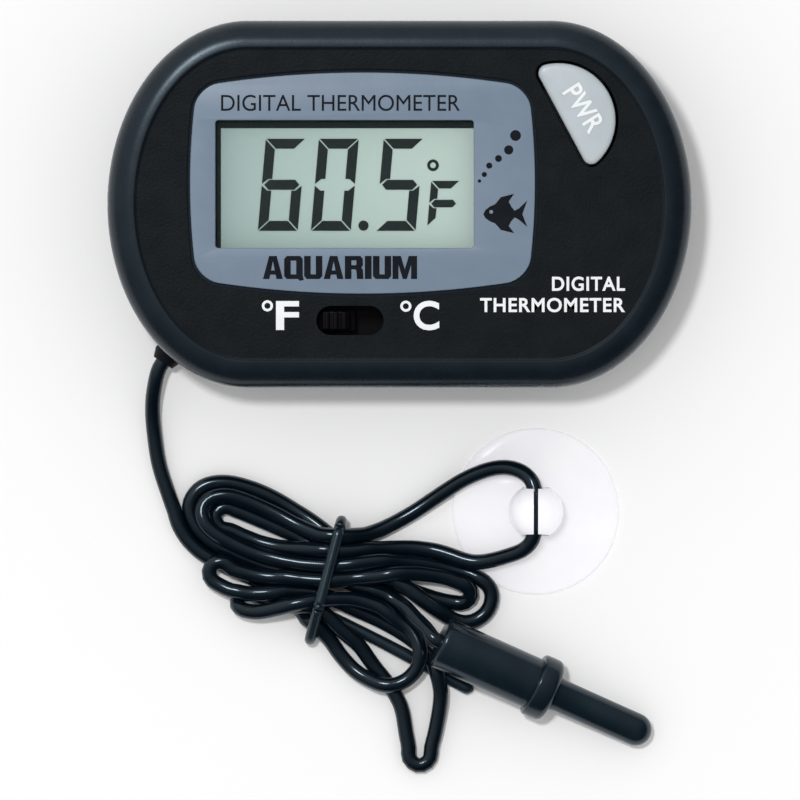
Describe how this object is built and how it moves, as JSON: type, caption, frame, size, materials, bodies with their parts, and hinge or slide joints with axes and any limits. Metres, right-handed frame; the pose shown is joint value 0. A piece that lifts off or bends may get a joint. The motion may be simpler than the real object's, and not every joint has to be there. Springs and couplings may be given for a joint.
{
  "type": "digital aquarium thermometer",
  "caption": "Oval digital aquarium thermometer with a liquid-crystal display, power button, unit switch, bundled cord, sensor probe and clear suction cup.",
  "frame": {"origin": "centre of the housing's back face", "axes": "+Z out of the display, +Y towards the display's top edge, +X to the reader's right"},
  "size_m": [0.06, 0.0773, 0.0158],
  "materials": {
    "black_plastic": "fine texture",
    "faceplate": "satin",
    "clear_window": "polished",
    "lcd_glass": "polished",
    "lcd_reflector": "satin film",
    "white_plastic": "moulded",
    "black_rubber": "matte",
    "black_epoxy": "cast",
    "beige_ceramic": "fired",
    "circuit_board": "solder mask",
    "steel": "plated",
    "pale_plastic": "satin",
    "red_insulation": "smooth",
    "black_insulation": "smooth",
    "cord_jacket": "glossy",
    "tie_coating": "glossy",
    "clear_vinyl": "clear",
    "slate_plastic": "satin"
  },
  "bodies": {
    "housing": {"front_case": "black_plastic", "rear_case": "black_plastic", "faceplate": "faceplate", "display_window": "clear_window", "lcd_front_glass": "lcd_glass", "lcd_rear_glass": "lcd_glass", "lcd_reflector": "lcd_reflector", "lcd_frame": "white_plastic", "zebra_strip_upper": "black_rubber", "zebra_strip_lower": "black_rubber", "circuit_board": "circuit_board", "chip_dome": "black_epoxy", "crystal": "steel", "resistor_1": "black_epoxy", "resistor_2": "black_epoxy", "capacitor": "beige_ceramic", "switch_housing": "black_plastic", "battery_cell": "steel", "battery_contact_top": "steel", "battery_contact_side": "steel", "battery_holder": "white_plastic", "case_screw_1": "steel", "case_screw_2": "steel", "case_screw_3": "steel", "case_screw_4": "steel", "board_screw_1": "steel", "board_screw_2": "steel", "cord_grommet": "black_rubber", "sensor_wire_red": "red_insulation", "sensor_wire_black": "black_insulation", "cord_lead": "cord_jacket", "cord_hank": "cord_jacket", "cord_cup_loop": "cord_jacket", "cord_fold": "cord_jacket", "cord_lower_loop": "cord_jacket", "cord_tail": "cord_jacket", "cord_tie": "tie_coating", "probe_sleeve": "slate_plastic", "probe_collar": "slate_plastic", "probe_tip": "slate_plastic", "thermistor_bead": "black_epoxy"},
    "button": {"button_cap": "pale_plastic", "button_pill": "black_rubber"},
    "switch": {"switch_slider": "black_plastic"},
    "battery_cap": {"battery_cap": "black_plastic"},
    "suction_cup": {"suction_cup": "clear_vinyl"}
  },
  "joints": [
    {"name": "power_button_press", "type": "slide", "parent": "housing", "child": "button", "axis": [0, 0, -1], "range_m": [0, 0.0008], "stiffness_N_per_m": 1500, "springref_m": -0.0004},
    {"name": "unit_switch_slide", "type": "slide", "parent": "housing", "child": "switch", "axis": [1, 0, 0], "range_m": [0, 0.003]},
    {"name": "battery_cap_turn", "type": "hinge", "parent": "housing", "child": "battery_cap", "pos_m": [0.013, -0.003, 0.001], "axis": [0, 0, 1], "range_deg": [0, 45]},
    {"name": "suction_cup_tilt", "type": "hinge", "parent": "housing", "child": "suction_cup", "pos_m": [0.01405, -0.0316, 0.0046], "axis": [0, -1, 0], "range_deg": [0, 60]}
  ]
}
